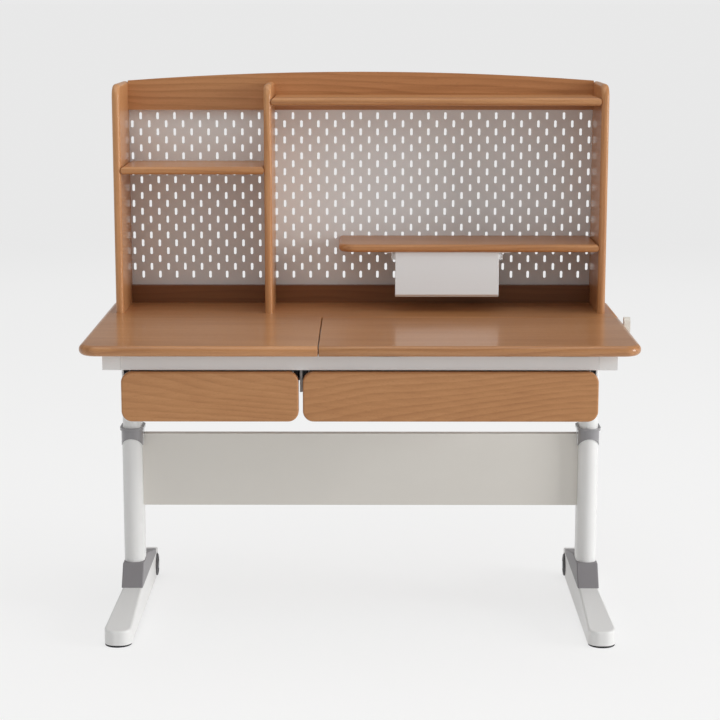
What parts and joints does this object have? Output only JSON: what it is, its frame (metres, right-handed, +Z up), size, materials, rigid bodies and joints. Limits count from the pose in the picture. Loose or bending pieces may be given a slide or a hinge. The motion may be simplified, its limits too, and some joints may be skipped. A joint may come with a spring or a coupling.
{
  "type": "student desk with hutch",
  "caption": "Height-adjustable student desk: crank-lifted columns, tilting worktop section, drawers, and a wooden hutch with shelves and a slotted back sheet.",
  "frame": {"origin": "on the floor under the middle of the worktop; the folded crank stands 18 mm past its right edge, so the box's own middle is 9 mm to the right", "axes": "+X to the right as the sitter sees it, +Y to the back, +Z up"},
  "size_m": [1.218, 0.64, 1.2375],
  "materials": {
    "cherry_wood": "satin lacquered cherry-toned wood",
    "white_steel": "fine white powder coat",
    "white_sheet": "matte white powder coat on punched sheet",
    "grey_plastic": "moulded mid-grey plastic",
    "white_plastic": "moulded white plastic",
    "zinc_steel": "zinc-plated steel",
    "black_rubber": "black rubber",
    "dark_plastic": "dark grey moulded plastic"
  },
  "bodies": {
    "base": {"left_foot": "white_steel", "right_foot": "white_steel", "left_foot_cover": "grey_plastic", "right_foot_cover": "grey_plastic", "floor_glides": "black_rubber", "left_outer_column": "white_steel", "right_outer_column": "white_steel", "left_collar": "grey_plastic", "right_collar": "grey_plastic", "modesty_panel": "white_steel", "left_nut_post": "zinc_steel", "right_nut_post": "zinc_steel", "wheel_axles": "zinc_steel"},
    "lifting_frame": {"left_inner_column": "white_steel", "right_inner_column": "white_steel", "left_gearbox": "zinc_steel", "right_gearbox": "zinc_steel", "left_frame_arm": "white_steel", "right_frame_arm": "white_steel", "front_frame_rail": "white_steel", "rear_frame_rail": "white_steel", "fixed_top": "cherry_wood", "hinge_fixed_leaves": "zinc_steel", "hinge_pins": "zinc_steel", "left_stay_track": "zinc_steel", "right_stay_track": "zinc_steel", "left_drawer_hanger": "white_steel", "middle_drawer_hanger": "white_steel", "right_drawer_hanger": "white_steel", "left_outer_runners": "zinc_steel", "right_outer_runners": "zinc_steel", "hutch_left_side": "cherry_wood", "hutch_right_side": "cherry_wood", "hutch_divider": "cherry_wood", "hutch_left_shelf": "cherry_wood", "hutch_top_shelf": "cherry_wood", "hutch_low_shelf": "cherry_wood", "lower_back_rail": "cherry_wood", "upper_back_rail": "cherry_wood", "slotted_back_sheet": "white_sheet", "left_box_holder": "white_plastic", "right_box_holder": "white_plastic"},
    "tilting_part": {"tilting_top": "cherry_wood", "hinge_moving_leaves": "zinc_steel", "stay_brackets": "zinc_steel"},
    "stay_part": {"tilt_stay": "zinc_steel"},
    "left_drawer": {"left_drawer_front": "cherry_wood", "left_drawer_tray": "white_steel", "left_inner_runners": "zinc_steel"},
    "right_drawer": {"right_drawer_front": "cherry_wood", "right_drawer_tray": "white_steel", "right_inner_runners": "zinc_steel"},
    "sliding_box": {"pencil_box": "white_plastic"},
    "crank_part": {"crank_shaft": "zinc_steel", "crank_arm": "white_plastic"},
    "grip_part": {"crank_grip": "white_plastic"},
    "left_screw_part": {"left_lift_screw": "zinc_steel"},
    "right_screw_part": {"right_lift_screw": "zinc_steel"},
    "left_wheel_part": {"left_wheel": "dark_plastic"},
    "right_wheel_part": {"right_wheel": "dark_plastic"}
  },
  "joints": [
    {"name": "height_slide", "type": "slide", "parent": "base", "child": "lifting_frame", "axis": [0, 0, 1], "range_m": [-0.14, 0.076]},
    {"name": "top_tilt", "type": "hinge", "parent": "lifting_frame", "child": "tilting_part", "pos_m": [0.2565, -0.28, 0.661], "axis": [1, 0, 0], "range_deg": [0, 40]},
    {"name": "stay_fold", "type": "hinge", "parent": "tilting_part", "child": "stay_part", "pos_m": [0.2565, -0.14, 0.649], "axis": [1, 0, 0], "range_deg": [-80, 0]},
    {"name": "left_drawer_slide", "type": "slide", "parent": "lifting_frame", "child": "left_drawer", "axis": [0, -1, 0], "range_m": [0, 0.19]},
    {"name": "right_drawer_slide", "type": "slide", "parent": "lifting_frame", "child": "right_drawer", "axis": [0, -1, 0], "range_m": [0, 0.19]},
    {"name": "box_slide", "type": "slide", "parent": "lifting_frame", "child": "sliding_box", "axis": [0, -1, 0], "range_m": [0, 0.09]},
    {"name": "crank_turn", "type": "hinge", "parent": "lifting_frame", "child": "crank_part", "pos_m": [0.6, 0.041, 0.6435], "axis": [1, 0, 0], "continuous": true},
    {"name": "grip_fold", "type": "hinge", "parent": "crank_part", "child": "grip_part", "pos_m": [0.6133, 0.041, 0.6795], "axis": [0, -1, 0], "range_deg": [0, 90]},
    {"name": "left_screw_turn", "type": "hinge", "parent": "lifting_frame", "child": "left_screw_part", "pos_m": [-0.527, 0.041, 0.4], "axis": [0, 0, 1], "continuous": true},
    {"name": "right_screw_turn", "type": "hinge", "parent": "lifting_frame", "child": "right_screw_part", "pos_m": [0.527, 0.041, 0.4], "axis": [0, 0, 1], "continuous": true},
    {"name": "left_wheel_turn", "type": "hinge", "parent": "base", "child": "left_wheel_part", "pos_m": [-0.509, 0.286, 0.031], "axis": [1, 0, 0], "continuous": true},
    {"name": "right_wheel_turn", "type": "hinge", "parent": "base", "child": "right_wheel_part", "pos_m": [0.509, 0.286, 0.031], "axis": [1, 0, 0], "continuous": true}
  ],
  "couplings": [
    {"joint": "stay_fold", "follows": "top_tilt", "ratio": -2},
    {"joint": "crank_turn", "follows": "height_slide", "rad_per_m": 628.32},
    {"joint": "left_screw_turn", "follows": "height_slide", "rad_per_m": 628.32},
    {"joint": "right_screw_turn", "follows": "height_slide", "rad_per_m": -628.32}
  ]
}
